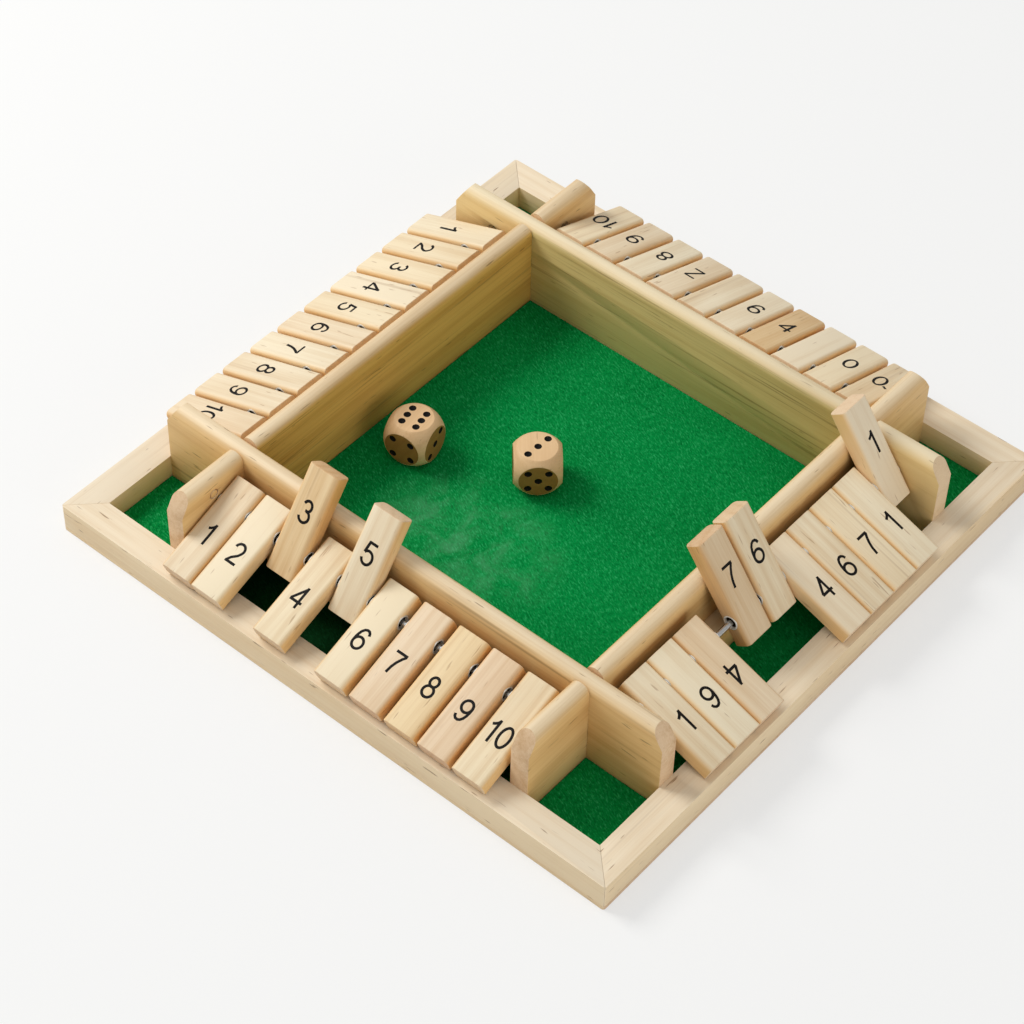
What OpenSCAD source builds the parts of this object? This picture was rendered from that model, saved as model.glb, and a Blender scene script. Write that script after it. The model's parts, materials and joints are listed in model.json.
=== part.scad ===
// Four-player shut the box: a square wooden tray with a felted dice well in the
// middle and a row of ten hinged number tiles along each side.
// Millimetres, +Z up, origin at the centre of the underside.

/* [Frame] */
// Outer length of each side
side_l = 280; // [276:1:300]
// Width of a rail, seen from above
rail_w = 13.5; // [11:0.5:16]
// Height of the rail tops above the table
frame_h = 14; // [12:0.5:16]
// Thickness of the base panel
base_t = 2.2; // [1.6:0.1:4]
// Radius of the eased top edges of the rails
rail_ease = 0.8; // [0.3:0.1:2]
// Radius of the four upright corners
corner_ease = 1.2; // [0.5:0.1:4]
// Thickness of the felt
felt_t = 0.8; // [0.4:0.1:1.2]
// Gap between a felt piece and the wood around it
felt_gap = 0.2; // [0.1:0.1:0.5]

/* [Wall lattice] */
// Clear width of the dice well, and clear length of every row
tray_w = 167.4; // [166.4:0.2:172]
// Thickness of a wall board
wall_t = 8.4; // [7:0.1:9]
// Height of the wall tops above the table
wall_h = 44; // [42:0.5:46]
// How far the sloping cut on a wall's end reaches in from the rail
end_cut_in = 5.5; // [2:0.5:10]
// How far the sloping cut comes down from the wall's top
end_cut_down = 9; // [3:0.5:14]
// Height above the table at which two lapped boards meet
lap_z = 22; // [15:0.5:27]
// Play on each face of a lap joint
lap_clear = 0.05; // [0.02:0.01:0.2]

/* [Tiles] */
// Play that the ten tiles leave along a row
row_play = 17.4; // [16:0.2:22]
// Thickness of a tile
tile_t = 8.4; // [7:0.1:9]
// Length of a tile
tile_l = 46.2; // [44:0.1:46.2]
// Radius of a tile's long edges
tile_round = 2; // [1:0.1:3.2]
// Distance from a tile's inner end to its rod hole
eye_in = 11; // [9:0.1:11.3]
// Diameter of the counterbore round the rod hole
eye_d = 6.6; // [4:0.1:7]
// Depth of that counterbore
eye_depth = 1.2; // [0.5:0.1:5]
// Gap left where a tile rests on a rail or leans on a wall
rest_clear = 0.05; // [0.02:0.01:0.2]

/* [Hinge rods] */
// Diameter of a hinge rod
rod_d = 2.5; // [2:0.1:3]
// Distance from a wall's outer face to the rod's axis
rod_off = 13.4; // [13:0.1:14]
// Height of the rod's axis above the table
rod_z = 30.2; // [29:0.1:31.5]
// Radial play of a tile on its rod, and of a rod in its seat
rod_clear = 0.05; // [0.02:0.01:0.1]
// Depth of the blind hole that seats a rod's end
seat_depth = 5; // [3:0.1:6.5]
// Diameter of the shallow ring cut round that hole
ring_d = 5.6; // [4:0.1:8]
// Depth of the ring cut
ring_depth = 1.2; // [0.5:0.1:2]

/* [Battens] */
// Width of the batten along the foot of each wall
batten_w = 7.5; // [4:0.1:8]
// Height of the batten above the base panel
batten_h = 17; // [8:0.5:17]

/* [Row spacing] */
// Shares of the front row's play: before each tile, then after the last
front_play = [5, 6, 14, 16, 10, 8, 28, 26, 16, 20, 25];
// Shares of the right-hand row's play, with a place left open after its third tile
right_play = [50, 2, 2, 97, 10, 2, 2, 2, 2, 2, 3];
// Shares of the back and left-hand rows' play, wide at the ends, where two raised tiles meet
even_play = [2, 1, 1, 1, 1, 1, 1, 1, 1, 1, 2];

/* [Dice] */
// Edge of a die
die_edge = 20; // [16:0.5:22]
// Diameter of the ball that rounds off a die
die_ball = 25.8; // [24:0.1:30]
// Width of a pip at the surface
pip_d = 2.8; // [2:0.1:3.5]
// Depth of a pip
pip_depth = 0.7; // [0.3:0.1:1.2]
// Distance from a face's centre to its outer pips, along each edge
pip_pitch = 4.2; // [3:0.1:4.6]
// Centre of the first die
die_a_at = [-61, -17];
// Turn of the first die about the vertical
die_a_turn = 10; // [0:1:90]
// Centre of the second die
die_b_at = [-12.8, 4];
// Turn of the second die about the vertical
die_b_turn = 42; // [0:1:90]

/* [Hidden] */
$fn = 64;
tiles_per_row = 10;

// How far a cutting shape runs past the surface that it cuts
cut_past = 1;

// Turns that bring the front side round to each side of the box
front_turn = 0;
right_turn = 90;
back_turn = 180;
left_turn = 270;
side_turns = [front_turn, right_turn, back_turn, left_turn];

// Distances from the centre of the box
well = tray_w / 2;
wall_out = well + wall_t;
wall_mid = well + wall_t / 2;
rail_in = side_l / 2 - rail_w;
rod_out = wall_out + rod_off;
batten_out = wall_out + batten_w;

// Height of the centre of a wall's rounded top
crest_z = wall_h - wall_t / 2;
felt_z = base_t + felt_t;

// A lying tile slopes down from its rod to the edge that rests on the rail
tile_reach = tile_l - eye_in;
rest_drop = rod_z - frame_h - rest_clear;
lie_angle = asin(rest_drop / norm([tile_reach, tile_t / 2])) - atan2(tile_t / 2, tile_reach);

// A raised tile leans past upright until its face meets the wall's rounded top
crest_dist = norm([rod_off + wall_t / 2, crest_z - rod_z]);
crest_angle = atan2(crest_z - rod_z, -(rod_off + wall_t / 2));
raise_angle = crest_angle - asin((wall_t / 2 + tile_t / 2 + rest_clear) / crest_dist);

// Width of a tile, and how a row's play is shared out between its tiles
tile_w = (tray_w - row_play) / tiles_per_row;
function total(v, n) = n <= 0 ? 0 : v[n - 1] + total(v, n - 1);
function shares(side) =
    side == front_turn ? front_play : side == right_turn ? right_play : even_play;
function play_before(side, n) =
    row_play * total(shares(side), n) / total(shares(side), tiles_per_row + 1);
function tile_x(side, n) = play_before(side, n) + (n - 0.5) * tile_w - well;

// Pips of one face, in steps of pip_pitch
six_row = 0.8;
corners = [[-1, -1], [-1, 1], [1, -1], [1, 1]];
diagonal = [[-1, -1], [1, 1]];
middle = [[0, 0]];
sixes = [for (u = [-six_row, six_row], v = [-1:1]) [u, v]];
faces = [middle, diagonal, concat(diagonal, middle), corners, concat(corners, middle), sixes];
function pips(n) = faces[n - 1];

// Turns that point a face's normal up, down, right, left, back and front
face_turns = [[0, 0, 0], [180, 0, 0], [90, 0, 90], [90, 0, -90], [90, 0, 180], [90, 0, 0]];
die_a_faces = [6, 1, 3, 5, 2, 4];
die_b_faces = [3, 4, 1, 6, 2, 5];

// Colours
pale_wood = [0.87, 0.80, 0.67];
tile_wood = [0.91, 0.85, 0.74];
wall_wood = [0.78, 0.68, 0.46];
board_wood = [0.75, 0.66, 0.50];
die_wood = [0.86, 0.74, 0.58];
felt_green = [0.04, 0.44, 0.22];
steel = [0.75, 0.76, 0.78];

// Turns its children from the front side of the box to another side
module on_side(side) {
    rotate([0, 0, side]) children();
}

// Runs an outline drawn across the front side, y then z, along the x axis
module along_x(length) {
    rotate([90, 0, 90]) linear_extrude(length, center = true) children();
}

// Square with rounded corners
module rounded_square(w, r) {
    square([w, w - 2 * r], center = true);
    square([w - 2 * r, w], center = true);
    for (x = [-1, 1], y = [-1, 1])
        translate([x * (w / 2 - r), y * (w / 2 - r)]) circle(r = r);
}

// Rail section: a rectangle with its two top edges eased
module rail_section() {
    h = frame_h - base_t;
    translate([-side_l / 2, base_t]) {
        square([rail_w, h - rail_ease]);
        translate([rail_ease, 0]) square([rail_w - 2 * rail_ease, h]);
        for (x = [rail_ease, rail_w - rail_ease])
            translate([x, h - rail_ease]) circle(r = rail_ease);
    }
}

// Plan of one rail between its two mitres
module mitred_plan() {
    o = side_l / 2;
    polygon([[-o, -o], [o, -o], [rail_in, -rail_in], [-rail_in, -rail_in]]);
}

module rail(side) {
    color(board_wood) on_side(side) intersection() {
        along_x(side_l) rail_section();
        linear_extrude(frame_h) mitred_plan();
        linear_extrude(frame_h) rounded_square(side_l, corner_ease);
    }
}

module base_panel() {
    color(board_wood) linear_extrude(base_t) rounded_square(side_l, corner_ease);
}

// Wall section: straight sides under a half-round top
module wall_section() {
    translate([-wall_mid, crest_z]) circle(d = wall_t);
    translate([-wall_out, base_t]) square([wall_t, crest_z - base_t]);
}

// Wall seen from the side, with a sloping cut at each end
module wall_outline() {
    shoulder = rail_in - end_cut_in;
    cheek = wall_h - end_cut_down;
    polygon([
        [-rail_in, base_t], [rail_in, base_t], [rail_in, cheek],
        [shoulder, wall_h], [-shoulder, wall_h], [-rail_in, cheek]
    ]);
}

// Half-lap slot at one crossing, open at the top or at the bottom
module lap_slot(x, from_top) {
    w = wall_t + 2 * lap_clear;
    z0 = from_top ? lap_z : base_t - cut_past;
    z1 = from_top ? wall_h + cut_past : lap_z;
    translate([x - w / 2, -wall_out - cut_past, z0])
        cube([w, wall_t + 2 * cut_past, z1 - z0]);
}

// Blind hole and ring cut that seat the end of a neighbouring row's rod
module rod_seat(x) {
    translate([x, -well, rod_z]) rotate([90, 0, 0]) {
        cylinder(d = rod_d + 2 * rod_clear, h = seat_depth);
        translate([0, 0, -cut_past]) cylinder(d = ring_d, h = ring_depth + cut_past);
    }
}

// Wall board; low_start and low_end say where a neighbour laps over it
module wall(side, low_start, low_end) {
    color(wall_wood) on_side(side) difference() {
        intersection() {
            along_x(2 * rail_in) wall_section();
            translate([0, cut_past - well, 0]) rotate([90, 0, 0])
                linear_extrude(wall_t + 2 * cut_past) wall_outline();
        }
        lap_slot(-wall_mid, low_start);
        lap_slot(wall_mid, low_end);
        rod_seat(-rod_out);
        rod_seat(rod_out);
    }
}

// Square batten glued along the foot of a wall, inside the row
module batten(side) {
    color(pale_wood) on_side(side)
        translate([lap_clear - well, -batten_out, base_t])
            cube([tray_w - 2 * lap_clear, batten_w, batten_h]);
}

module felt_tray() {
    w = tray_w - 2 * felt_gap;
    color(felt_green) translate([0, 0, base_t]) linear_extrude(felt_t) square(w, center = true);
}

module felt_corners() {
    w = rail_in - wall_out - 2 * felt_gap;
    mid = (rail_in + wall_out) / 2;
    color(felt_green) for (side = side_turns)
        on_side(side) translate([mid, -mid, base_t])
            linear_extrude(felt_t) square(w, center = true);
}

module felt_channels() {
    w = rail_in - batten_out - 2 * felt_gap;
    color(felt_green) for (side = side_turns)
        on_side(side) translate([0, -(rail_in + batten_out) / 2, base_t])
            linear_extrude(felt_t) square([tray_w - 2 * felt_gap, w], center = true);
}

// The four rods, each seated in the two walls that close its row
module hinge_rods() {
    length = tray_w + 2 * seat_depth - 4 * felt_gap;
    color(steel) for (side = side_turns)
        on_side(side) translate([0, -rod_out, rod_z]) rotate([0, 90, 0])
            cylinder(d = rod_d, h = length, center = true);
}

// Tile section across its length, with rounded long edges
module tile_section() {
    r = tile_round;
    square([tile_w, tile_t - 2 * r], center = true);
    square([tile_w - 2 * r, tile_t], center = true);
    for (x = [-1, 1], z = [-1, 1])
        translate([x * (tile_w / 2 - r), z * (tile_t / 2 - r)]) circle(r = r);
}

// Tile with its rod hole on the x axis and its outer end towards -y
module tile_blank() {
    difference() {
        translate([0, eye_in, 0]) rotate([90, 0, 0]) linear_extrude(tile_l) tile_section();
        rotate([0, 90, 0]) cylinder(d = rod_d + 2 * rod_clear, h = tile_w + 2 * cut_past, center = true);
        for (turn = [90, -90])
            rotate([0, turn, 0]) translate([0, 0, tile_w / 2 - eye_depth])
                cylinder(d = eye_d, h = eye_depth + cut_past);
    }
}

module tile(side, n, raised = false) {
    color(tile_wood) on_side(side) translate([tile_x(side, n), -rod_out, rod_z])
        rotate([raised ? -raise_angle : lie_angle, 0, 0]) tile_blank();
}

// Pips sunk into one face of a die
module pip_cuts(n) {
    ball = (pip_d * pip_d / 4 + pip_depth * pip_depth) / (2 * pip_depth);
    for (p = pips(n))
        translate([p[0] * pip_pitch, p[1] * pip_pitch, die_edge / 2 - pip_depth + ball])
            sphere(r = ball, $fn = 32);
}

// Rounded die with a pip count on each of its six faces
module die(at, turn, counts) {
    color(die_wood) translate([at[0], at[1], felt_z + rest_clear + die_edge / 2])
        rotate([0, 0, turn]) difference() {
            intersection() {
                cube(die_edge, center = true);
                sphere(d = die_ball);
            }
            for (i = [0:5]) rotate(face_turns[i]) pip_cuts(counts[i]);
        }
}

tile(front_turn, 1);  // tile_front_1
tile(front_turn, 2);  // tile_front_2
tile(front_turn, 3, raised = true);  // tile_front_3
tile(front_turn, 4);  // tile_front_4
tile(front_turn, 5, raised = true);  // tile_front_5
tile(front_turn, 6);  // tile_front_6
tile(front_turn, 7);  // tile_front_7
tile(front_turn, 8);  // tile_front_8
tile(front_turn, 9);  // tile_front_9
tile(front_turn, 10);  // tile_front_10
tile(right_turn, 1);  // tile_right_1
tile(right_turn, 2);  // tile_right_2
tile(right_turn, 3);  // tile_right_3
tile(right_turn, 4, raised = true);  // tile_right_4
tile(right_turn, 5, raised = true);  // tile_right_5
tile(right_turn, 6);  // tile_right_6
tile(right_turn, 7);  // tile_right_7
tile(right_turn, 8);  // tile_right_8
tile(right_turn, 9);  // tile_right_9
tile(right_turn, 10, raised = true);  // tile_right_10
tile(back_turn, 1);  // tile_back_1
tile(back_turn, 2);  // tile_back_2
tile(back_turn, 3);  // tile_back_3
tile(back_turn, 4);  // tile_back_4
tile(back_turn, 5);  // tile_back_5
tile(back_turn, 6);  // tile_back_6
tile(back_turn, 7);  // tile_back_7
tile(back_turn, 8);  // tile_back_8
tile(back_turn, 9);  // tile_back_9
tile(back_turn, 10);  // tile_back_10
tile(left_turn, 1);  // tile_left_1
tile(left_turn, 2);  // tile_left_2
tile(left_turn, 3);  // tile_left_3
tile(left_turn, 4);  // tile_left_4
tile(left_turn, 5);  // tile_left_5
tile(left_turn, 6);  // tile_left_6
tile(left_turn, 7);  // tile_left_7
tile(left_turn, 8);  // tile_left_8
tile(left_turn, 9);  // tile_left_9
tile(left_turn, 10);  // tile_left_10
hinge_rods();
rail(front_turn);  // rail_front
rail(right_turn);  // rail_right
rail(back_turn);  // rail_back
rail(left_turn);  // rail_left
wall(front_turn, false, false);  // wall_front
wall(right_turn, true, false);  // wall_right
wall(back_turn, true, false);  // wall_back
wall(left_turn, true, true);  // wall_left
batten(front_turn);  // batten_front
batten(right_turn);  // batten_right
batten(back_turn);  // batten_back
batten(left_turn);  // batten_left
base_panel();
felt_tray();
felt_corners();
felt_channels();
die(die_a_at, die_a_turn, die_a_faces);  // die_a
die(die_b_at, die_b_turn, die_b_faces);  // die_b
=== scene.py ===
import json
import math
import random

import bpy
from mathutils import Matrix, Vector


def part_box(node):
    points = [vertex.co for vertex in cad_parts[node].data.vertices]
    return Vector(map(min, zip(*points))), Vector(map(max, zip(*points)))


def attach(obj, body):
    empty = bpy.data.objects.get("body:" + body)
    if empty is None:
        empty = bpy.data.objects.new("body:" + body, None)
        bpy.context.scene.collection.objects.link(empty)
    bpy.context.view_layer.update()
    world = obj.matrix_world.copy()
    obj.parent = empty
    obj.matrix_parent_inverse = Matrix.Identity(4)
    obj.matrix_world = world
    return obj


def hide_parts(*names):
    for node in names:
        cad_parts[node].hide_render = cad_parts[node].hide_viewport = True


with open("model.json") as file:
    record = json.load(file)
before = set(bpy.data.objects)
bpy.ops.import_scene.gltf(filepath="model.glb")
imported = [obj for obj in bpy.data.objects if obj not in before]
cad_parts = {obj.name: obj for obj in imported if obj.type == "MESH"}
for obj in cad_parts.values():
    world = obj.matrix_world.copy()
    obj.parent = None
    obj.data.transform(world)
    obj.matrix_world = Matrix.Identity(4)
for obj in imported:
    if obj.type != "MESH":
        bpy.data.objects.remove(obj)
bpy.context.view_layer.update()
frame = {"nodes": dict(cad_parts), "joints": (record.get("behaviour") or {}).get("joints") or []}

# The box stands on z = 0 with its front row of tiles towards -y. Each piece is shaped
# for the front side, and the other sides are the same thing in quarter turns about z.

# ---------------------------------------------------------------- sizes, in metres
MM = 0.001
HAIR = 0.01 * MM
TOUCHING = 1e-6
X, Y = 0, 1
SIDES = ("front", "right", "back", "left")
HALF_SIDE = 140 * MM
RAIL_WIDTH = 13.5 * MM
RAIL_IN = HALF_SIDE - RAIL_WIDTH
BASE_TOP = 2.2 * MM
FRAME_TOP = 14 * MM
RAIL_EASE = 0.8 * MM
CORNER_EASE = 1.2 * MM
MITRE_GAP = 0.08 * MM
SANDED = {"base": 0.15 * MM, "rail": 0.16 * MM, "wall": 0.25 * MM, "batten": 0.3 * MM,
          "die": 0.1 * MM}
FELT_TOP = 3.0 * MM
FELT_GAP = 0.2 * MM
FELT_EASE = 0.35 * MM

WELL = 83.7 * MM
WALL_THICK = 8.4 * MM
WALL_MID = WELL + WALL_THICK / 2
WALL_OUT = WELL + WALL_THICK
WALL_TOP = 44 * MM
END_CUT_IN = 5.5 * MM
END_CUT_DOWN = 9 * MM
LAP_HEIGHT = 22 * MM
LAP_PLAY = 0.05 * MM
LAP_CUT_BESIDE = 2 * MM    # how far the cutter of a lap runs beyond the wall
LAP_CUT_ABOVE = 5 * MM

TILE_WIDTH = 15 * MM
TILE_THICK = 8.4 * MM
TILE_LENGTH = 46.2 * MM
TILE_ROUND = 2 * MM
TILE_END_ROUND = 0.4 * MM
EYE_IN = 11 * MM
EYE_RADIUS = 3.3 * MM
EYE_DEPTH = 1.2 * MM
BUSH_PLAY = 0.05 * MM
BUSH_WALL = 0.65 * MM
TILE_REACH = TILE_LENGTH - EYE_IN
REST_PLAY = 0.05 * MM

ROD_RADIUS = 1.25 * MM
ROD_PLAY = 0.05 * MM
ROD_OUT = WALL_OUT + 13.4 * MM
ROD_HEIGHT = 30.2 * MM
SEAT_DEPTH = 5 * MM
RING_RADIUS = 2.8 * MM
RING_DEPTH = 1.2 * MM

BATTEN_WIDTH = 7.5 * MM
BATTEN_HEIGHT = 17 * MM
BATTEN_OUT = WALL_OUT + BATTEN_WIDTH

DIE_EDGE = 20 * MM
DIE_TURN = {"die_a": 10, "die_b": 42}
DIE_BALL_RADIUS = 12.9 * MM
PIP_WIDTH = 3.15 * MM
PIP_DEPTH = 0.7 * MM
PIP_PITCH = 4.2 * MM

NUMBER_HEIGHT = {"top": 9.8 * MM, "under": 10.2 * MM}
NUMBER_FROM_ROD = {"top": 15.1 * MM, "under": 17.0 * MM}
INK_THICKNESS = 0.05 * MM
INK_RAISED = 0.018 * MM
PLUG_RADIUS = 2.3 * MM
PLUG_DEPTH = 1.5 * MM
PLUG_RIM = 0.6 * MM
PLUG_AT = (108.8 * MM, 35.8 * MM)

rng = random.Random(1912)


# ---------------------------------------------------------------- modelling helpers
END_FACING = 0.6


def quarter_turn(side):
    """Turn from the front of the box to another side."""
    return Matrix.Rotation(math.radians(90 * SIDES.index(side)), 4, "Z")


def clear_selection():
    active = bpy.context.view_layer.objects.active
    if active and active.mode != "OBJECT":
        bpy.ops.object.mode_set(mode="OBJECT")
    bpy.ops.object.select_all(action="DESELECT")


def pick(piece):
    clear_selection()
    piece.select_set(True)
    bpy.context.view_layer.objects.active = piece


def block(name, low, high):
    """Rectangular piece of stock between two corners."""
    low, high = Vector(low), Vector(high)
    clear_selection()
    bpy.ops.mesh.primitive_cube_add(size=1, location=(low + high) / 2, scale=high - low)
    piece = bpy.context.object
    piece.name = name
    bpy.ops.object.transform_apply(location=True, rotation=True, scale=True)
    return piece


def bevel_edges(piece, wanted, width, segments):
    """Rounds the edges whose two ends satisfy wanted(a, b)."""
    pick(piece)
    bpy.ops.object.mode_set(mode="EDIT")
    bpy.ops.mesh.select_mode(type="EDGE")
    bpy.ops.mesh.select_all(action="DESELECT")
    bpy.ops.object.mode_set(mode="OBJECT")
    points = piece.data.vertices
    for edge in piece.data.edges:
        edge.select = wanted(*(points[i].co for i in edge.vertices))
    bpy.ops.object.mode_set(mode="EDIT")
    bpy.ops.mesh.bevel(offset=width, offset_type="OFFSET", segments=segments,
                       profile=0.5, affect="EDGES", clamp_overlap=True)
    bpy.ops.object.mode_set(mode="OBJECT")


def upright(a, b):
    return abs(a.z - b.z) > MM


def lengthwise(a, b):
    return abs(a.x - b.x) > 100 * MM


def saw(piece, point, normal):
    """Cuts away what lies on the side of a plane that its normal points to."""
    pick(piece)
    bpy.ops.object.mode_set(mode="EDIT")
    bpy.ops.mesh.select_all(action="SELECT")
    bpy.ops.mesh.bisect(plane_co=point, plane_no=Vector(normal).normalized(), use_fill=True,
                        clear_outer=True, threshold=TOUCHING)
    bpy.ops.object.mode_set(mode="OBJECT")


def cut(piece, cutter, operation="DIFFERENCE", keep_finish=False):
    """Boolean with a cutter that is used up."""
    pick(piece)
    boolean = piece.modifiers.new("cut", "BOOLEAN")
    boolean.object = cutter
    boolean.operation = operation
    boolean.solver = "EXACT"
    if keep_finish:
        boolean.material_mode = "TRANSFER"
    bpy.ops.object.modifier_apply(modifier="cut")
    bpy.data.objects.remove(cutter)


def soften(piece, width, angle=40):
    """Takes the sharpness off every edge steeper than angle."""
    pick(piece)
    bevel = piece.modifiers.new("soften", "BEVEL")
    bevel.width = width
    bevel.segments = 2
    bevel.limit_method = "ANGLE"
    bevel.angle_limit = math.radians(angle)
    bpy.ops.object.modifier_apply(modifier="soften")


def shade(piece, angle=32):
    """Smooth shading over edges flatter than angle."""
    pick(piece)
    bpy.ops.object.shade_smooth_by_angle(angle=math.radians(angle))


def drill(radius, depth, place, turn, sides=40):
    """Round cutter with its centre at place."""
    clear_selection()
    bpy.ops.mesh.primitive_cylinder_add(radius=radius, depth=depth, location=place,
                                        rotation=turn, vertices=sides)
    cutter = bpy.context.object
    bpy.ops.object.transform_apply(location=True, rotation=True, scale=True)
    return cutter


def mark_points(piece, name, values):
    mark = piece.data.attributes.new(name, "FLOAT", "POINT")
    mark.data.foreach_set("value", values)


def mark_faces(piece, name, wanted):
    """Marks the faces whose normal satisfies wanted(normal)."""
    mark = piece.data.attributes.new(name, "FLOAT", "FACE")
    mark.data.foreach_set("value", [float(wanted(face.normal)) for face in piece.data.polygons])


def grain_piece(piece, along, tone=0.0, tint=0.0, ends=True):
    """Stores where each point lies in its log: across, along and up the grain.

    The grain runs along X or Y, and the faces that look that way show end grain unless
    ends is off. Tone above 0 is darker. Tint above 0 is golden and below 0 pink."""
    mesh = piece.data
    across = X + Y - along
    from_pith = rng.uniform(24, 95) * MM
    angle = rng.uniform(0, math.tau)
    start = (from_pith * math.cos(angle), rng.uniform(0, 3), from_pith * math.sin(angle))
    grain = mesh.attributes.new("grain", "FLOAT_VECTOR", "POINT")
    values = []
    for vertex in mesh.vertices:
        co = vertex.co
        values += [co[across] + start[0], co[along] + start[1], co[2] + start[2]]
    grain.data.foreach_set("vector", values)
    mark_points(piece, "tone", [tone] * len(mesh.vertices))
    mark_points(piece, "tint", [tint] * len(mesh.vertices))
    # The narrow sides are marked for painted warm shade
    mark_points(piece, "side_shade_mask", [abs(v.normal[across]) ** 2 for v in mesh.vertices])
    facing = END_FACING if ends else math.inf
    mark_faces(piece, "end_grain", lambda n: abs(n[along]) > facing)


def finish_with(piece, *materials):
    """Gives a piece these materials in place of any it has."""
    piece.data.materials.clear()
    for material in materials:
        piece.data.materials.append(material)


def stand_for(piece, body, slot, *nodes):
    """Hands a finished piece to its body, in place of its plain solid."""
    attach(piece, body)
    if nodes:
        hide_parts(*nodes)


def copy_of(piece, name):
    twin = piece.copy()
    twin.data = piece.data.copy()
    twin.name = name
    bpy.context.scene.collection.objects.link(twin)
    return twin


def join(pieces, name):
    pick(pieces[0])
    for piece in pieces[1:]:
        piece.select_set(True)
    bpy.ops.object.join()
    pieces[0].name = name
    return pieces[0]


# ---------------------------------------------------------------- shader helpers
def rgb(red, green, blue):
    """Linear colour from the usual 0 to 255 values."""
    def linear(value):
        value /= 255
        return value / 12.92 if value <= 0.04045 else ((value + 0.055) / 1.055) ** 2.4
    return (linear(red), linear(green), linear(blue), 1.0)


class Value:
    """Output socket that Python arithmetic turns into Math nodes."""

    def __init__(self, finish, socket):
        self.finish = finish
        self.socket = socket

    def math(self, operation, *others):
        return self.finish.add("ShaderNodeMath", {"operation": operation},
                               {0: self, **dict(enumerate(others, 1))})

    def __add__(self, other):
        return self.math("ADD", other)

    def __sub__(self, other):
        return self.math("SUBTRACT", other)

    def __mul__(self, other):
        return self.math("MULTIPLY", other)

    def __truediv__(self, other):
        return self.math("DIVIDE", other)

    def __pow__(self, other):
        return self.math("POWER", other)

    def __rsub__(self, other):
        return self.finish.add("ShaderNodeMath", {"operation": "SUBTRACT"},
                               {0: other, 1: self})

    __radd__ = __add__
    __rmul__ = __mul__

    def clip(self):
        return self.finish.add("ShaderNodeClamp", {}, {0: self})

    def ramp(self, low, high):
        """0 at low, 1 at high, smooth between and flat beyond."""
        return self.finish.add("ShaderNodeMapRange", {"interpolation_type": "SMOOTHSTEP"},
                               {0: self, 1: low, 2: high})


class Finish:
    """Material under construction. Noise scales are in cells per metre."""

    def __init__(self, name):
        self.material = bpy.data.materials.new(name)
        self.material.use_nodes = True
        self.tree = self.material.node_tree
        self.tree.nodes.clear()

    def add(self, kind, settings, inputs, out=0):
        """Adds a node and gives one of its outputs."""
        node = self.tree.nodes.new(kind)
        for name, value in settings.items():
            setattr(node, name, value)
        for key, value in inputs.items():
            socket = node.inputs[key]
            if isinstance(value, Value):
                self.tree.links.new(value.socket, socket)
            else:
                socket.default_value = value
        if len(node.outputs):
            return Value(self, node.outputs[out])

    def attribute(self, name, out="Fac"):
        return self.add("ShaderNodeAttribute", {"attribute_name": name}, {}, out)

    def place(self):
        return self.add("ShaderNodeTexCoord", {}, {}, "Object")

    def stretched(self, vector, scale):
        return self.add("ShaderNodeVectorMath", {"operation": "MULTIPLY"},
                        {0: vector, 1: scale})

    def noise(self, vector, scale=(1, 1, 1), detail=2, roughness=0.5, distortion=0):
        return self.add("ShaderNodeTexNoise", {},
                        {"Vector": self.stretched(vector, scale), "Scale": 1.0,
                         "Detail": detail, "Roughness": roughness,
                         "Distortion": distortion})

    def mix(self, factor, first, second, blend="MIX"):
        return self.add("ShaderNodeMix", {"data_type": "RGBA", "blend_type": blend},
                        {0: factor, 6: first, 7: second}, 2)

    def split(self, vector):
        node = self.tree.nodes.new("ShaderNodeSeparateXYZ")
        self.tree.links.new(vector.socket, node.inputs[0])
        return [Value(self, socket) for socket in node.outputs]

    def bump(self, height, strength, distance):
        return self.add("ShaderNodeBump", {}, {"Height": height, "Strength": strength,
                                               "Distance": distance})

    def close(self, inputs):
        surface = self.add("ShaderNodeBsdfPrincipled", {}, inputs)
        self.add("ShaderNodeOutputMaterial", {}, {"Surface": surface})
        return self.material


# ---------------------------------------------------------------- finishes
GOLDEN_TINT = rgb(255, 232, 190)
PINK_TINT = rgb(250, 226, 214)
END_TINT = rgb(232, 208, 190)
# Painted olive shade for the standing flats of the dice
FLAT_SHADE_COLOUR = rgb(174, 153, 108)
SCUFF_AT = (-12 * MM, -39 * MM)
SCUFF_REACH = (46 * MM, 34 * MM)
NAP_ACROSS, NAP_ALONG = 0.44, 0.9    # x and y parts of the way the nap lies


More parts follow.
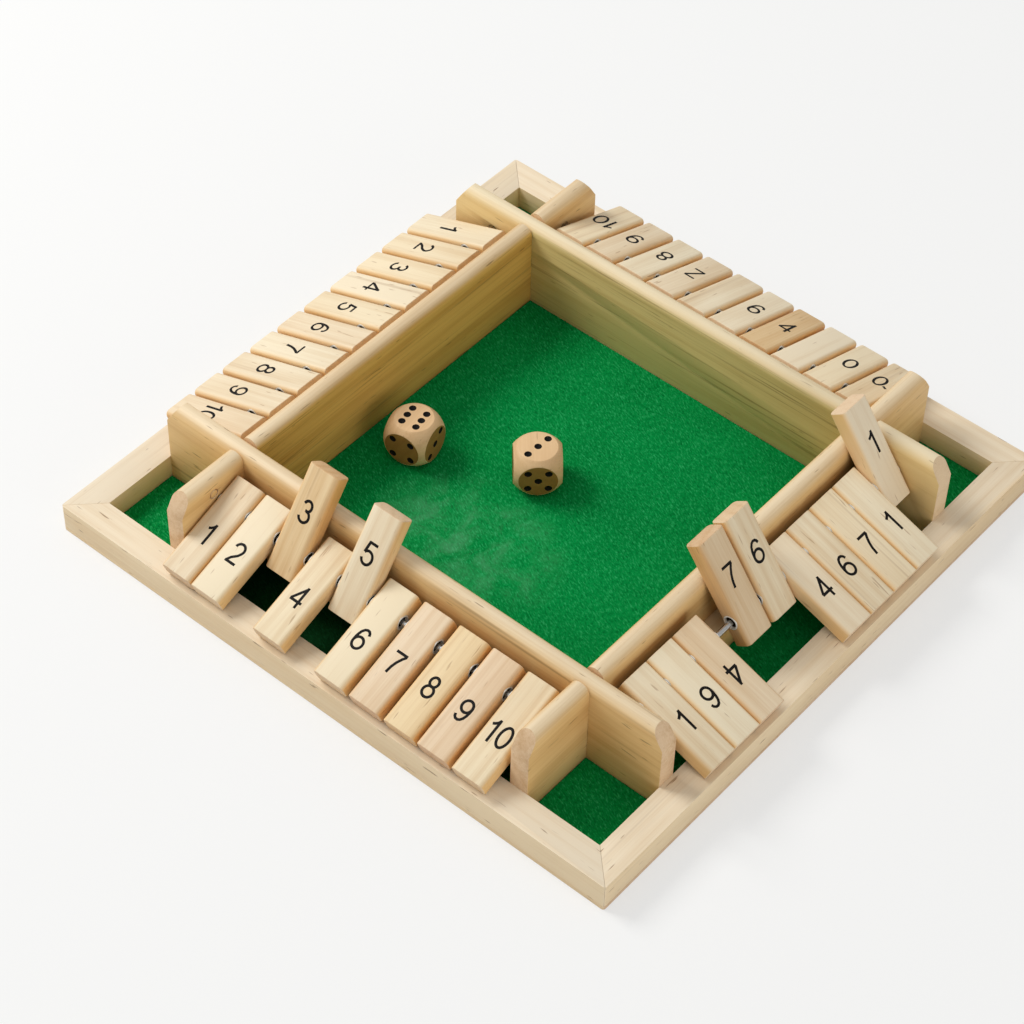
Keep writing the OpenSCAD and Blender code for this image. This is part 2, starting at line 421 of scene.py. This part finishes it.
def wood(name, pale, deep, streak_colour, side_shade_colour, ring_depth, streak_depth=0.4,
         fleck_depth=0.5, ring_width=5 * MM, well_shade_colour=None):
    """Sawn pale wood: rings round a pith, fibres, streaks and small flecks.

    The side colour is painted warm shade on the narrow sides, and the well colour is painted shade
    and green felt bounce on the faces that look into the dice well."""
    f = Finish(name)
    grain = f.attribute("grain", "Vector")
    tone = f.attribute("tone")
    tint = f.attribute("tint")
    end = f.attribute("end_grain")
    side = f.attribute("side_shade_mask")
    painted_flat_shade = f.attribute("painted_flat_shade")
    across, _, up = f.split(grain)

    warp = f.noise(grain, (22, 5, 22)) - 0.5
    radius = (across * across + up * up) ** 0.5 + warp * (9 * MM)
    wave = (radius * (math.tau / ring_width)).math("SINE") * 0.5 + 0.5
    rings = wave ** 2.2
    fibre = f.noise(grain, (1500, 38, 1500), detail=3, roughness=0.65)
    lines = f.noise(grain, (620, 7, 620), roughness=0.6)
    streaks = f.noise(grain, (240, 6, 240), detail=3, roughness=0.6)
    cloud = f.noise(grain, (40, 14, 40))
    pins = f.noise(grain, (800, 95, 800), detail=1).ramp(0.70, 0.78)
    seams = f.noise(grain, (190, 4.5, 190), roughness=0.7).ramp(0.62, 0.76)
    pores = f.noise(grain, (1700, 1700, 1700))

    face = 1 - end
    darkness = (0.12 + rings * ring_depth + (streaks - 0.5) * 1.3 * streak_depth
                + (lines - 0.5) * 0.75 * streak_depth + (fibre - 0.5) * 0.5
                + (cloud - 0.5) * 0.75 + tone * 0.45).clip()
    colour = f.mix(darkness, pale, deep)
    colour = f.mix((tint * 0.55).clip(), colour, GOLDEN_TINT, "MULTIPLY")
    colour = f.mix((tint * -0.55).clip(), colour, PINK_TINT, "MULTIPLY")
    # Painted warm shade on the narrow sides
    colour = f.mix((side * face).clip(), colour, side_shade_colour, "MULTIPLY")
    # Painted shade on the standing flats of a die
    colour = f.mix(painted_flat_shade, colour, FLAT_SHADE_COLOUR, "MULTIPLY")
    # Painted shade and green felt bounce on the faces that look into the dice well, with finer
    # grain lines there
    if well_shade_colour:
        x, y, _ = f.split(f.place())
        off_centre = x.math("ABSOLUTE").math("MAXIMUM", y.math("ABSOLUTE"))
        in_well = off_centre.ramp(WELL + 1.2 * MM, WELL + 0.2 * MM)
        fine = f.noise(grain, (560, 8, 560), detail=3, roughness=0.75).ramp(0.52, 0.70)
        colour = f.mix(in_well, colour, well_shade_colour, "MULTIPLY")
        colour = f.mix((fine * in_well * 0.6).clip(), colour, streak_colour)
    colour = f.mix((seams * streak_depth * 0.7 * face).clip(), colour, streak_colour)
    colour = f.mix((pins * fleck_depth * (0.35 + 0.4 * face)).clip(), colour,
                   streak_colour)
    colour = f.mix((end * (0.35 + pores * 0.5)).clip(), colour, END_TINT, "MULTIPLY")

    height = fibre * 0.6 + rings * 0.12 - pins * 0.8 + pores * end * 0.6
    return f.close({
        "Base Color": colour,
        "Roughness": (0.5 + (fibre - 0.5) * 0.25 + end * 0.15).clip(),
        "Specular IOR Level": 0.35,
        "Normal": f.bump(height, 0.35, 0.08 * MM),
    })


def felt_cloth():
    """Short pressed fibres with fine speckle and a faint pale scuff.

    The strip under the front row of tiles gets painted shade, nearly black."""
    f = Finish("green_felt")
    place = f.place()
    speckle = f.noise(place, (1250, 1250, 1250), detail=3, roughness=0.7)
    x, y, z = f.split(place)
    across_nap = (x * NAP_ACROSS + y * NAP_ALONG) * 1750
    along_nap = (x * NAP_ALONG - y * NAP_ACROSS) * 500
    nap = f.add("ShaderNodeCombineXYZ", {}, {0: across_nap, 1: along_nap, 2: z * 600})
    fibres = f.noise(nap, detail=3, roughness=0.6, distortion=0.35)
    cloud = f.noise(place, (16, 16, 16), detail=3)
    scuff = f.noise(place, (74, 58, 58), detail=5, roughness=0.66, distortion=0.8)
    off_x = (x - SCUFF_AT[0]) / SCUFF_REACH[0]
    off_y = (y - SCUFF_AT[1]) / SCUFF_REACH[1]
    near = (1.0 - (off_x * off_x + off_y * off_y)).clip()
    pale = (near * scuff.ramp(0.36, 0.78) * 0.4).clip()
    base = f.mix((speckle * 0.8 + (cloud - 0.5) * 0.6).clip(),
                 rgb(2, 98, 40), rgb(8, 176, 88))
    base = f.mix((fibres.ramp(0.50, 0.74) * 0.46).clip(), base, rgb(72, 204, 134))
    base = f.mix((fibres.ramp(0.50, 0.28) * 0.5).clip(), base, rgb(0, 66, 26))
    base = f.mix(pale, base, rgb(110, 178, 138))
    # Painted shade, nearly black, in the strip under the front row of tiles
    before_wall = y.ramp(-WELL, -WELL - 4 * MM)
    between_ends = x.math("ABSOLUTE").ramp(WELL + 2 * MM, WELL - 13 * MM)
    shade_under_tiles = before_wall * between_ends
    base = f.mix((shade_under_tiles * 0.85).clip(), base, rgb(12, 20, 10))
    height = speckle * 0.6 + fibres * 0.7
    return f.close({
        "Base Color": base,
        "Roughness": 0.95,
        "Specular IOR Level": 0.03,
        "Normal": f.bump(height, 0.6, 0.25 * MM),
    })


def polished_steel():
    f = Finish("polished_steel")
    place = f.place()
    scratches = f.noise(place, (2400, 2400, 2400))
    return f.close({
        "Base Color": f.mix(scratches, rgb(176, 178, 180), rgb(222, 222, 220)),
        "Metallic": 1.0,
        "Roughness": (0.22 + (scratches - 0.5) * 0.12).clip(),
    })


# A metal bush painted plain white as its highlight
def bush_painted_highlight():
    f = Finish("bush_painted_highlight")
    place = f.place()
    dull = f.noise(place, (900, 900, 900))
    return f.close({
        "Base Color": f.mix(dull, rgb(236, 232, 222), rgb(254, 252, 246)),
        "Metallic": 0.0,
        "Roughness": (0.25 + dull * 0.2).clip(),
    })


# Painted shade that makes the shallow sockets of the rod holes look deep
def socket_painted_shade():
    f = Finish("socket_painted_shade")
    place = f.place()
    shade_mottle = f.noise(place, (500, 500, 500))
    return f.close({
        "Base Color": f.mix(shade_mottle, rgb(20, 15, 10), rgb(44, 33, 22)),
        "Roughness": 0.9,
        "Specular IOR Level": 0.1,
    })


def printed_ink():
    f = Finish("printed_ink")
    place = f.place()
    wear = f.noise(place, (900, 900, 900), detail=3)
    return f.close({
        "Base Color": f.mix(wear, rgb(9, 8, 8), rgb(28, 25, 23)),
        "Roughness": 0.6,
        "Specular IOR Level": 0.15,
    })


def pip_paint():
    f = Finish("pip_paint")
    place = f.place()
    pool = f.noise(place, (700, 700, 700))
    return f.close({
        "Base Color": f.mix(pool, rgb(8, 7, 6), rgb(24, 20, 17)),
        "Roughness": (0.6 + pool * 0.2).clip(),
        "Specular IOR Level": 0.15,
    })


TILE_WOOD = wood("tile_wood", rgb(242, 229, 200), rgb(204, 168, 116), rgb(150, 106, 62),
                 side_shade_colour=rgb(250, 222, 176), ring_depth=0.16, fleck_depth=0.6)
WALL_WOOD = wood("wall_wood", rgb(238, 218, 184), rgb(196, 158, 104), rgb(112, 76, 34),
                 side_shade_colour=rgb(249, 228, 184), ring_depth=0.22, streak_depth=0.7,
                 fleck_depth=0.7, ring_width=9 * MM, well_shade_colour=rgb(248, 236, 184))
BACK_WALL_WOOD = wood("back_wall_wood", rgb(238, 222, 188), rgb(196, 166, 112),
                      rgb(120, 86, 38), side_shade_colour=rgb(249, 232, 190), ring_depth=0.18,
                      streak_depth=0.5, ring_width=11 * MM, well_shade_colour=rgb(238, 246, 236))
FRAME_WOOD = wood("frame_wood", rgb(243, 229, 204), rgb(210, 178, 132), rgb(140, 102, 62),
                  side_shade_colour=rgb(255, 247, 230), ring_depth=0.13, streak_depth=0.3,
                  fleck_depth=1.0)
BATTEN_WOOD = wood("batten_wood", rgb(236, 214, 176), rgb(204, 168, 116), rgb(140, 100, 56),
                   side_shade_colour=rgb(250, 226, 176), ring_depth=0.25)
DIE_WOOD = wood("die_wood", rgb(234, 198, 152), rgb(194, 150, 100), rgb(120, 84, 50),
                side_shade_colour=rgb(255, 255, 255), ring_depth=0.14, streak_depth=0.3)
FELT = felt_cloth()
STEEL = polished_steel()
BUSH_HIGHLIGHT = bush_painted_highlight()
SOCKET_SHADE = socket_painted_shade()
INK = printed_ink()
PIP_PAINT = pip_paint()


# ---------------------------------------------------------------- frame and base
def build_base():
    base = block("base_board", (-HALF_SIDE, -HALF_SIDE, 0), (HALF_SIDE, HALF_SIDE, BASE_TOP))
    bevel_edges(base, upright, CORNER_EASE, 4)
    soften(base, SANDED["base"])
    shade(base)
    grain_piece(base, X, tone=0.3)
    finish_with(base, FRAME_WOOD)
    stand_for(base, "box", "frame_wood", "base_panel")


RAIL_TONES = {"front": -0.25, "right": 0.05, "back": 0.2, "left": -0.15}


def build_rails():
    stock = block("rail_stock", (-HALF_SIDE, -HALF_SIDE, BASE_TOP),
                  (HALF_SIDE, -RAIL_IN, FRAME_TOP))
    bevel_edges(stock, lambda a, b: upright(a, b) and a.y < -RAIL_IN - MM, CORNER_EASE, 4)
    bevel_edges(stock, lambda a, b: lengthwise(a, b) and min(a.z, b.z) > FRAME_TOP - HAIR,
                RAIL_EASE, 4)
    for end in (-1, 1):
        saw(stock, (end * (HALF_SIDE - MITRE_GAP), -HALF_SIDE, 0), (end, 1, 0))
    soften(stock, SANDED["rail"], angle=50)
    shade(stock)
    for side in SIDES:
        rail = copy_of(stock, "frame_rail_" + side)
        grain_piece(rail, X, tone=RAIL_TONES[side], ends=False)
        rail.data.transform(quarter_turn(side))
        finish_with(rail, FRAME_WOOD)
        stand_for(rail, "box", "frame_wood", "rail_" + side)
    bpy.data.objects.remove(stock)


# ---------------------------------------------------------------- wall lattice
def wall_board():
    """Full board with a half-round top and sloping end cuts, before its laps."""
    crest = WALL_TOP - WALL_THICK / 2
    board = block("wall_stock", (-RAIL_IN, -WALL_OUT, BASE_TOP), (RAIL_IN, -WELL, WALL_TOP))
    bevel_edges(board, lambda a, b: lengthwise(a, b) and min(a.z, b.z) > crest,
                WALL_THICK / 2 - HAIR, 9)
    for end in (-1, 1):
        saw(board, (end * RAIL_IN, 0, WALL_TOP - END_CUT_DOWN),
            (end * END_CUT_DOWN, 0, END_CUT_IN))
    return board


def lap_cutter(x, from_top):
    """Cutter for the upper or the lower half of a wall where another crosses it."""
    half = WALL_THICK / 2 + LAP_PLAY
    low, high = (LAP_HEIGHT, WALL_TOP + LAP_CUT_ABOVE) if from_top else (0, LAP_HEIGHT)
    return block("lap", (x - half, -WALL_OUT - LAP_CUT_BESIDE, low),
                 (x + half, -WELL + LAP_CUT_BESIDE, high))


def wall_drill(radius, depth, x, z):
    """Cutter for a hole of this depth, square into the inner face of a wall."""
    return drill(radius, 2 * depth, (x, -WELL, z), (math.pi / 2, 0, 0))


def plug_groove():
    """Ring round a filled hole near the end of the left wall's inner face."""
    ring = wall_drill(PLUG_RADIUS, PLUG_DEPTH, *PLUG_AT)
    cut(ring, wall_drill(PLUG_RADIUS - PLUG_RIM, PLUG_DEPTH + MM, *PLUG_AT))
    return ring


# Which of a wall's two laps are cut from above, at its left end and its right end
LAPS_FROM_TOP = {"front": (False, False), "right": (True, False),
                 "back": (True, False), "left": (True, True)}
WALL_TONES = {"front": -0.2, "right": -0.05, "back": -0.35, "left": 0.0}


def build_walls():
    stock = wall_board()
    for side in SIDES:
        wall = copy_of(stock, "wall_board_" + side)
        for x, from_top in zip((-WALL_MID, WALL_MID), LAPS_FROM_TOP[side]):
            cut(wall, lap_cutter(x, from_top))
        if side == "left":
            cut(wall, plug_groove())
        for x in (-ROD_OUT, ROD_OUT):
            cut(wall, wall_drill(ROD_RADIUS + ROD_PLAY, SEAT_DEPTH, x, ROD_HEIGHT))
            cut(wall, wall_drill(RING_RADIUS, RING_DEPTH, x, ROD_HEIGHT))
        soften(wall, SANDED["wall"], angle=48)
        shade(wall)
        grain_piece(wall, X, tone=WALL_TONES[side])
        wall.data.transform(quarter_turn(side))
        finish_with(wall, BACK_WALL_WOOD if side == "back" else WALL_WOOD)
        stand_for(wall, "box", "wall_wood", "wall_" + side)
    bpy.data.objects.remove(stock)


def build_battens():
    stock = block("batten_stock", (-WELL + LAP_PLAY, -BATTEN_OUT, BASE_TOP),
                  (WELL - LAP_PLAY, -WALL_OUT, BASE_TOP + BATTEN_HEIGHT))
    soften(stock, SANDED["batten"])
    shade(stock)
    for side in SIDES:
        batten = copy_of(stock, "foot_batten_" + side)
        grain_piece(batten, X)
        batten.data.transform(quarter_turn(side))
        finish_with(batten, BATTEN_WOOD)
        stand_for(batten, "box", "batten_wood", "batten_" + side)
    bpy.data.objects.remove(stock)


# ---------------------------------------------------------------- felt
def felt_patch(name, low_x, low_y, high_x, high_y):
    patch = block(name, (low_x, low_y, BASE_TOP), (high_x, high_y, FELT_TOP))
    bevel_edges(patch, lambda a, b: min(a.z, b.z) > FELT_TOP - HAIR, FELT_EASE, 3)
    shade(patch)
    finish_with(patch, FELT)
    return patch


def build_felt():
    gap = FELT_GAP
    well = felt_patch("well_felt", -WELL + gap, -WELL + gap, WELL - gap, WELL - gap)
    stand_for(well, "box", "felt", "felt_tray")
    corners, channels = [], []
    for side in SIDES:
        corner = felt_patch("corner", WALL_OUT + gap, -RAIL_IN + gap,
                            RAIL_IN - gap, -WALL_OUT - gap)
        corner.data.transform(quarter_turn(side))
        corners.append(corner)
        channel = felt_patch("channel", -WELL + gap, -RAIL_IN + gap,
                             WELL - gap, -BATTEN_OUT - gap)
        channel.data.transform(quarter_turn(side))
        channels.append(channel)
    stand_for(join(corners, "corner_felt"), "box", "felt", "felt_corners")
    stand_for(join(channels, "channel_felt"), "box", "felt", "felt_channels")


# ---------------------------------------------------------------- numbers
def bow(cx, cy, rx, ry, start, stop, steps=18):
    """Points along part of an ellipse, angles in degrees."""
    points = []
    for step in range(steps + 1):
        angle = math.radians(start + (stop - start) * step / steps)
        points.append((cx + rx * math.cos(angle), cy + ry * math.sin(angle)))
    return points


def turned(strokes):
    """The same figure upside down."""
    return [[(FIGURE_WIDTH - x, 1 - y) for x, y in stroke] for stroke in strokes]


# Figures are strokes of a pen, 1 high from a lower left corner at the origin
FIGURE_WIDTH = 0.63
STROKE_WIDTH = 0.118
SIX = [bow(0.315, 0.315, 0.235, 0.255, 0, 360, 30),
       [(0.08, 0.31), (0.083, 0.45), (0.105, 0.62), (0.155, 0.78), (0.235, 0.89),
        (0.335, 0.94), (0.435, 0.925), (0.505, 0.86), (0.54, 0.76)]]
STROKES = {
    "0": [bow(0.31, 0.5, 0.235, 0.44, 0, 360, 36)],
    "1": [[(0.36, 0.0), (0.36, 1.0)], [(0.37, 0.96), (0.30, 0.84), (0.21, 0.765), (0.12, 0.715)]],
    "2": [bow(0.305, 0.70, 0.225, 0.24, 172, -25) + [(0.42, 0.44), (0.22, 0.26), (0.10, 0.06)],
          [(0.05, 0.06), (0.575, 0.06)]],
    "3": [bow(0.29, 0.725, 0.19, 0.215, 165, -90), bow(0.285, 0.30, 0.235, 0.24, 100, -168)],
    "4": [[(0.45, 0.0), (0.45, 1.0)], [(0.47, 0.96), (0.05, 0.29)], [(0.02, 0.28), (0.61, 0.28)]],
    "5": [[(0.56, 0.94), (0.17, 0.94)], [(0.20, 0.97), (0.11, 0.50)],
          bow(0.305, 0.335, 0.24, 0.275, 142, -166)],
    "6": SIX,
    "7": [[(0.05, 0.94), (0.60, 0.94)],
          [(0.57, 0.92), (0.46, 0.76), (0.35, 0.54), (0.275, 0.30), (0.235, 0.0)]],
    "8": [bow(0.31, 0.735, 0.185, 0.205, 0, 360, 28), bow(0.31, 0.30, 0.235, 0.24, 0, 360, 30)],
    "9": turned(SIX),
    "Z": [[(0.06, 0.94), (0.57, 0.94)], [(0.55, 0.92), (0.09, 0.08)], [(0.05, 0.06), (0.59, 0.06)]],
    "-": [[(-0.05, 0.22), (0.14, 0.10)]],
}
ADVANCE = {"1": 0.56, "-": 0.2}
USUAL_ADVANCE = 0.68


def number_shape(text):
    """Figures 1 high with round strokes, centred on the origin."""
    curve = bpy.data.curves.new("figure", "CURVE")
    curve.dimensions = "3D"
    curve.bevel_depth = STROKE_WIDTH / 2
    curve.bevel_resolution = 2
    curve.use_fill_caps = True
    x = 0
    for letter in text:
        for stroke in STROKES[letter]:
            spline = curve.splines.new("POLY")
            closed = math.dist(stroke[0], stroke[-1]) < TOUCHING
            points = stroke[:-1] if closed else stroke
            spline.points.add(len(points) - 1)
            for point, (px, py) in zip(spline.points, points):
                point.co = (px + x, py, 0, 1)
            spline.use_cyclic_u = closed
        x += ADVANCE.get(letter, USUAL_ADVANCE)
    shape = bpy.data.objects.new("figure", curve)
    bpy.context.scene.collection.objects.link(shape)
    pick(shape)
    bpy.ops.object.convert(target="MESH")
    shape = bpy.context.object
    pick(shape)
    bpy.ops.object.mode_set(mode="EDIT")
    bpy.ops.mesh.select_all(action="SELECT")
    bpy.ops.mesh.remove_doubles(threshold=1e-5)
    bpy.ops.mesh.normals_make_consistent(inside=False)
    bpy.ops.object.mode_set(mode="OBJECT")
    xs = [v.co.x for v in shape.data.vertices]
    shape.data.transform(Matrix.Translation((-(min(xs) + max(xs)) / 2, -0.5, 0)))
    return shape


FIGURES = {
    "front": ["1", "2", "3", "4", "5", "6", "7", "8", "9", "10"],
    "right": ["1", "9", "4", "7", "6", "4", "6", "7", "1", "1"],
    "back": ["0-", "0", "", "4", "6", "", "Z", "8", "9", "10"],
    "left": ["1", "2", "3", "4", "5", "6", "7", "8", "9", "10"],
}
UPSIDE_DOWN = {("right", 3), ("back", 1), ("back", 4), ("back", 5)}


def print_number(text, shapes, name, node, place, turn):
    """Prints the tile's number, pressed flat, on its top and on its underside."""
    if not text:
        return
    if text not in shapes:
        shapes[text] = number_shape(text)
    marks = []
    lift = Matrix.Translation((0, 0, TILE_THICK / 2 + INK_RAISED))
    for face, roll in (("top", 0), ("under", math.pi)):
        size = NUMBER_HEIGHT[face]
        mark = copy_of(shapes[text], name + "_" + face)
        flat = turn @ Matrix.Diagonal((size, size, INK_THICKNESS / STROKE_WIDTH, 1))
        spot = (Matrix.Translation((0, -NUMBER_FROM_ROD[face], 0))
                @ Matrix.Rotation(roll, 4, "X") @ lift)
        mark.data.transform(place @ spot @ flat)
        marks.append(mark)
    mark = join(marks, name)
    shade(mark, 50)
    finish_with(mark, INK)
    stand_for(mark, node, None)


# ---------------------------------------------------------------- tiles
def tile_blank():
    """Tile with its rod hole on the x axis and its outer end towards -y.

    Each mouth of the hole is a round socket painted dark as shade, holding a thin metal bush
    painted white as its highlight."""
    half = TILE_WIDTH / 2
    tile = block("tile_stock", (-half, -TILE_REACH, -TILE_THICK / 2),
                 (half, EYE_IN, TILE_THICK / 2))
    finish_with(tile, TILE_WOOD)
    bevel_edges(tile, lambda a, b: abs(a.y - b.y) > TILE_LENGTH / 2, TILE_ROUND, 7)
    bevel_edges(tile, lambda a, b: abs(a.y - b.y) < TOUCHING
                and min(abs(a.y - EYE_IN), abs(a.y + TILE_REACH)) < TOUCHING,
                TILE_END_ROUND, 3)
    across = (0, math.pi / 2, 0)
    cut(tile, drill(ROD_RADIUS + ROD_PLAY, TILE_WIDTH * 2, (0, 0, 0), across, 24))
    parts = [tile]
    for end in (-1, 1):
        socket = drill(EYE_RADIUS, 2 * EYE_DEPTH, (end * half, 0, 0), across)
        finish_with(socket, SOCKET_SHADE)
        cut(tile, socket, keep_finish=True)
        middle = (end * (half - EYE_DEPTH / 2), 0, 0)
        bush = drill(EYE_RADIUS - BUSH_PLAY, EYE_DEPTH - 2 * BUSH_PLAY, middle, across)
        cut(bush, drill(EYE_RADIUS - BUSH_WALL, 2 * EYE_DEPTH, middle, across))
        finish_with(bush, BUSH_HIGHLIGHT)
        parts.append(bush)
    tile = join(parts, "tile_stock")
    shade(tile, 35)
    return tile


def lie_angle():
    """Tilt of a tile whose outer end rests on the frame."""
    drop = ROD_HEIGHT - FRAME_TOP - REST_PLAY
    reach = math.hypot(TILE_REACH, TILE_THICK / 2)
    return math.asin(drop / reach) - math.atan2(TILE_THICK / 2, TILE_REACH)


def raise_angle():
    """Tilt of a tile that leans back against the round top of the wall."""
    run = ROD_OUT - WALL_MID
    rise = WALL_TOP - WALL_THICK / 2 - ROD_HEIGHT
    lean = (WALL_THICK / 2 + TILE_THICK / 2 + REST_PLAY) / math.hypot(run, rise)
    return math.atan2(rise, -run) - math.asin(lean)


# Tone and tint of the tiles that were cut from odd stock
TILE_TONES = {
    ("front", 3): (0.45, 0.9), ("front", 7): (0.0, -0.8), ("front", 8): (0.0, 1.0),
    ("front", 9): (0.15, -0.9), ("right", 3): (0.3, -0.5), ("right", 4): (0.75, -0.3),
    ("right", 5): (0.1, 0.2), ("back", 4): (0.8, 0.9), ("back", 1): (0.3, 0.3),
}


def build_tiles():
    stock = tile_blank()
    shapes = {}
    hinges = {joint["child"]: joint for joint in frame["joints"]}
    for side in SIDES:
        for number, text in enumerate(FIGURES[side], 1):
            node = f"tile_{side}_{number}"
            hinge = hinges[node]
            # Only a tile that stands raised at rest can turn down
            raised = hinge["range_deg"][0] < 0
            tilt = -raise_angle() if raised else lie_angle()
            place = (Matrix.Translation(hinge["pos_m"]) @ quarter_turn(side)
                     @ Matrix.Rotation(tilt, 4, "X"))
            tile = copy_of(stock, f"number_tile_{side}_{number}")
            usual = rng.uniform(-0.45, 0.35), rng.uniform(-0.4, 0.4)
            tone, tint = TILE_TONES.get((side, number), usual)
            grain_piece(tile, Y, tone, tint)
            tile.data.transform(place)
            stand_for(tile, node, "tile_wood", node)
            half_turn = math.pi if (side, number) in UPSIDE_DOWN else 0
            print_number(text, shapes, f"printed_number_{side}_{number}", node, place,
                         Matrix.Rotation(half_turn, 4, "Z"))
    bpy.data.objects.remove(stock)
    for shape in shapes.values():
        bpy.data.objects.remove(shape)


# ---------------------------------------------------------------- dice
CORNERS = [(-1, -1), (-1, 1), (1, -1), (1, 1)]
PIPS = {
    1: [(0, 0)],
    2: [(-1, -1), (1, 1)],
    3: [(-1, -1), (0, 0), (1, 1)],
    4: CORNERS,
    5: CORNERS + [(0, 0)],
    6: [(u * 0.8, v) for u in (-1, 1) for v in (-1, 0, 1)],
}
# Tilt about x and then turn about z that take the top face to each face of the die
FACE_TURNS = [(0, 0), (180, 0), (90, 90), (90, -90), (90, 180), (90, 0)]
FLAT_FACING = 0.995


def ball(radius, place=(0, 0, 0), segments=96):
    clear_selection()
    bpy.ops.mesh.primitive_uv_sphere_add(radius=radius, location=place, segments=segments,
                                         ring_count=segments // 2)
    sphere = bpy.context.object
    bpy.ops.object.transform_apply(location=True, rotation=True, scale=True)
    return sphere


def build_die(node, counts):
    """Die cut round by a ball. counts gives its pips in the order of FACE_TURNS."""
    low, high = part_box(node)
    centre = (low + high) / 2
    half = DIE_EDGE / 2
    die = block("wooden_" + node, (-half, -half, -half), (half, half, half))
    finish_with(die, DIE_WOOD, PIP_PAINT)
    rounding = ball(DIE_BALL_RADIUS)
    finish_with(rounding, DIE_WOOD)
    cut(die, rounding, "INTERSECT", keep_finish=True)
    soften(die, SANDED["die"], angle=20)
    radius = (PIP_WIDTH ** 2 / 4 + PIP_DEPTH ** 2) / (2 * PIP_DEPTH)
    dimples = []
    for count, (tilt, turn) in zip(counts, FACE_TURNS):
        face = (Matrix.Rotation(math.radians(turn), 4, "Z")
                @ Matrix.Rotation(math.radians(tilt), 4, "X"))
        for u, v in PIPS[count]:
            spot = face @ Vector((u * PIP_PITCH, v * PIP_PITCH, half - PIP_DEPTH + radius))
            dimples.append(ball(radius, spot, 24))
    dimple = join(dimples, "dimples")
    finish_with(dimple, PIP_PAINT)
    cut(die, dimple, keep_finish=True)
    shade(die, 25)
    grain_piece(die, Y, tone=rng.uniform(-0.2, 0.2), ends=False)
    # Its four standing sides get painted shade, darker than its top
    mark_faces(die, "painted_flat_shade", lambda n: max(abs(n.x), abs(n.y)) > FLAT_FACING)
    die.data.transform(Matrix.Translation(centre)
                       @ Matrix.Rotation(math.radians(DIE_TURN[node]), 4, "Z"))
    stand_for(die, node, "die_wood", node)


# ---------------------------------------------------------------- studio
WARM_WHITE = (1.0, 0.985, 0.96)
SKY_COLOUR = (1.0, 0.99, 0.975, 1)
SKY_STRENGTH = 0.50
LAMP_TARGET = (0, 0, 10 * MM)
CAMERA_AZIMUTH = 39.186
CAMERA_ELEVATION = 47.903
CAMERA_ROLL = 1.650
CAMERA_DISTANCE = 1170.41 * MM
CAMERA_TARGET = Vector((-10.73, -14.0, 0)) * MM
CAMERA_LENS = 101.31


def build_floor():
    """Pale floor. The camera sees it as a shaded glow, everything else as plain white."""
    clear_selection()
    bpy.ops.mesh.primitive_plane_add(size=12, location=(0, 0, 0))
    floor = bpy.context.object
    floor.name = "studio_floor"
    f = Finish("studio_floor")
    seen = f.add("ShaderNodeLightPath", {}, {}, "Is Camera Ray")
    plain = f.add("ShaderNodeBsdfDiffuse", {}, {"Color": (0.80, 0.80, 0.80, 1)})
    shown = f.add("ShaderNodeBsdfDiffuse", {}, {"Color": (0.40, 0.398, 0.39, 1)})
    glow = f.add("ShaderNodeEmission", {}, {"Color": (0.978, 0.99, 1, 1), "Strength": 0.545})
    shown = f.add("ShaderNodeAddShader", {}, {0: shown, 1: glow})
    surface = f.add("ShaderNodeMixShader", {}, {0: seen, 1: plain, 2: shown})
    f.add("ShaderNodeOutputMaterial", {}, {"Surface": surface})
    finish_with(floor, f.material)


def aim(thing, target):
    direction = Vector(target) - thing.location
    thing.rotation_mode = "QUATERNION"
    thing.rotation_quaternion = direction.to_track_quat("-Z", "Y")


def softbox(name, azimuth, elevation, distance, size, power):
    """Square lamp that faces the box. Its azimuth is counted from +x towards +y."""
    lamp = bpy.data.lights.new(name, "AREA")
    lamp.shape = "SQUARE"
    lamp.size = size
    lamp.energy = power
    lamp.color = WARM_WHITE
    holder = bpy.data.objects.new(name, lamp)
    a, e = math.radians(azimuth), math.radians(elevation)
    holder.location = Vector((math.cos(a) * math.cos(e), math.sin(a) * math.cos(e),
                              math.sin(e))) * distance
    aim(holder, LAMP_TARGET)
    bpy.context.scene.collection.objects.link(holder)


def build_lights():
    world = bpy.data.worlds.new("studio")
    bpy.context.scene.world = world
    world.use_nodes = True
    sky = world.node_tree.nodes["Background"]
    sky.inputs["Color"].default_value = SKY_COLOUR
    sky.inputs["Strength"].default_value = SKY_STRENGTH
    softbox("key_softbox", azimuth=195, elevation=45, distance=1.8, size=0.75, power=20.3)
    softbox("right_fill", azimuth=-8, elevation=14, distance=1.5, size=0.9, power=4.5)


def build_camera():
    azimuth = math.radians(CAMERA_AZIMUTH)
    elevation = math.radians(CAMERA_ELEVATION)
    roll = math.radians(CAMERA_ROLL)
    back = Vector((math.sin(azimuth) * math.cos(elevation),
                   -math.cos(azimuth) * math.cos(elevation), math.sin(elevation)))
    right = Vector((math.cos(azimuth), math.sin(azimuth), 0))
    up = back.cross(right)
    rolled_right = math.cos(roll) * right + math.sin(roll) * up
    rolled_up = -math.sin(roll) * right + math.cos(roll) * up
    data = bpy.data.cameras.new("camera")
    data.sensor_width = 36
    data.lens = CAMERA_LENS
    data.clip_start, data.clip_end = 0.05, 50
    camera = bpy.data.objects.new("camera", data)
    bpy.context.scene.collection.objects.link(camera)
    pose = Matrix((rolled_right, rolled_up, back)).transposed().to_4x4()
    pose.translation = CAMERA_TARGET + back * CAMERA_DISTANCE
    camera.matrix_world = pose
    bpy.context.scene.camera = camera


# ---------------------------------------------------------------- everything in order
bpy.context.scene.view_settings.view_transform = "Standard"
clear_selection()
build_camera()
build_lights()
build_floor()
build_base()
build_rails()
build_walls()
build_battens()
build_felt()
build_tiles()
build_die("die_a", (6, 1, 3, 5, 2, 4))
build_die("die_b", (3, 4, 1, 6, 2, 5))
# The rods are shown as they come, in steel
finish_with(frame["nodes"]["hinge_rods"], STEEL)
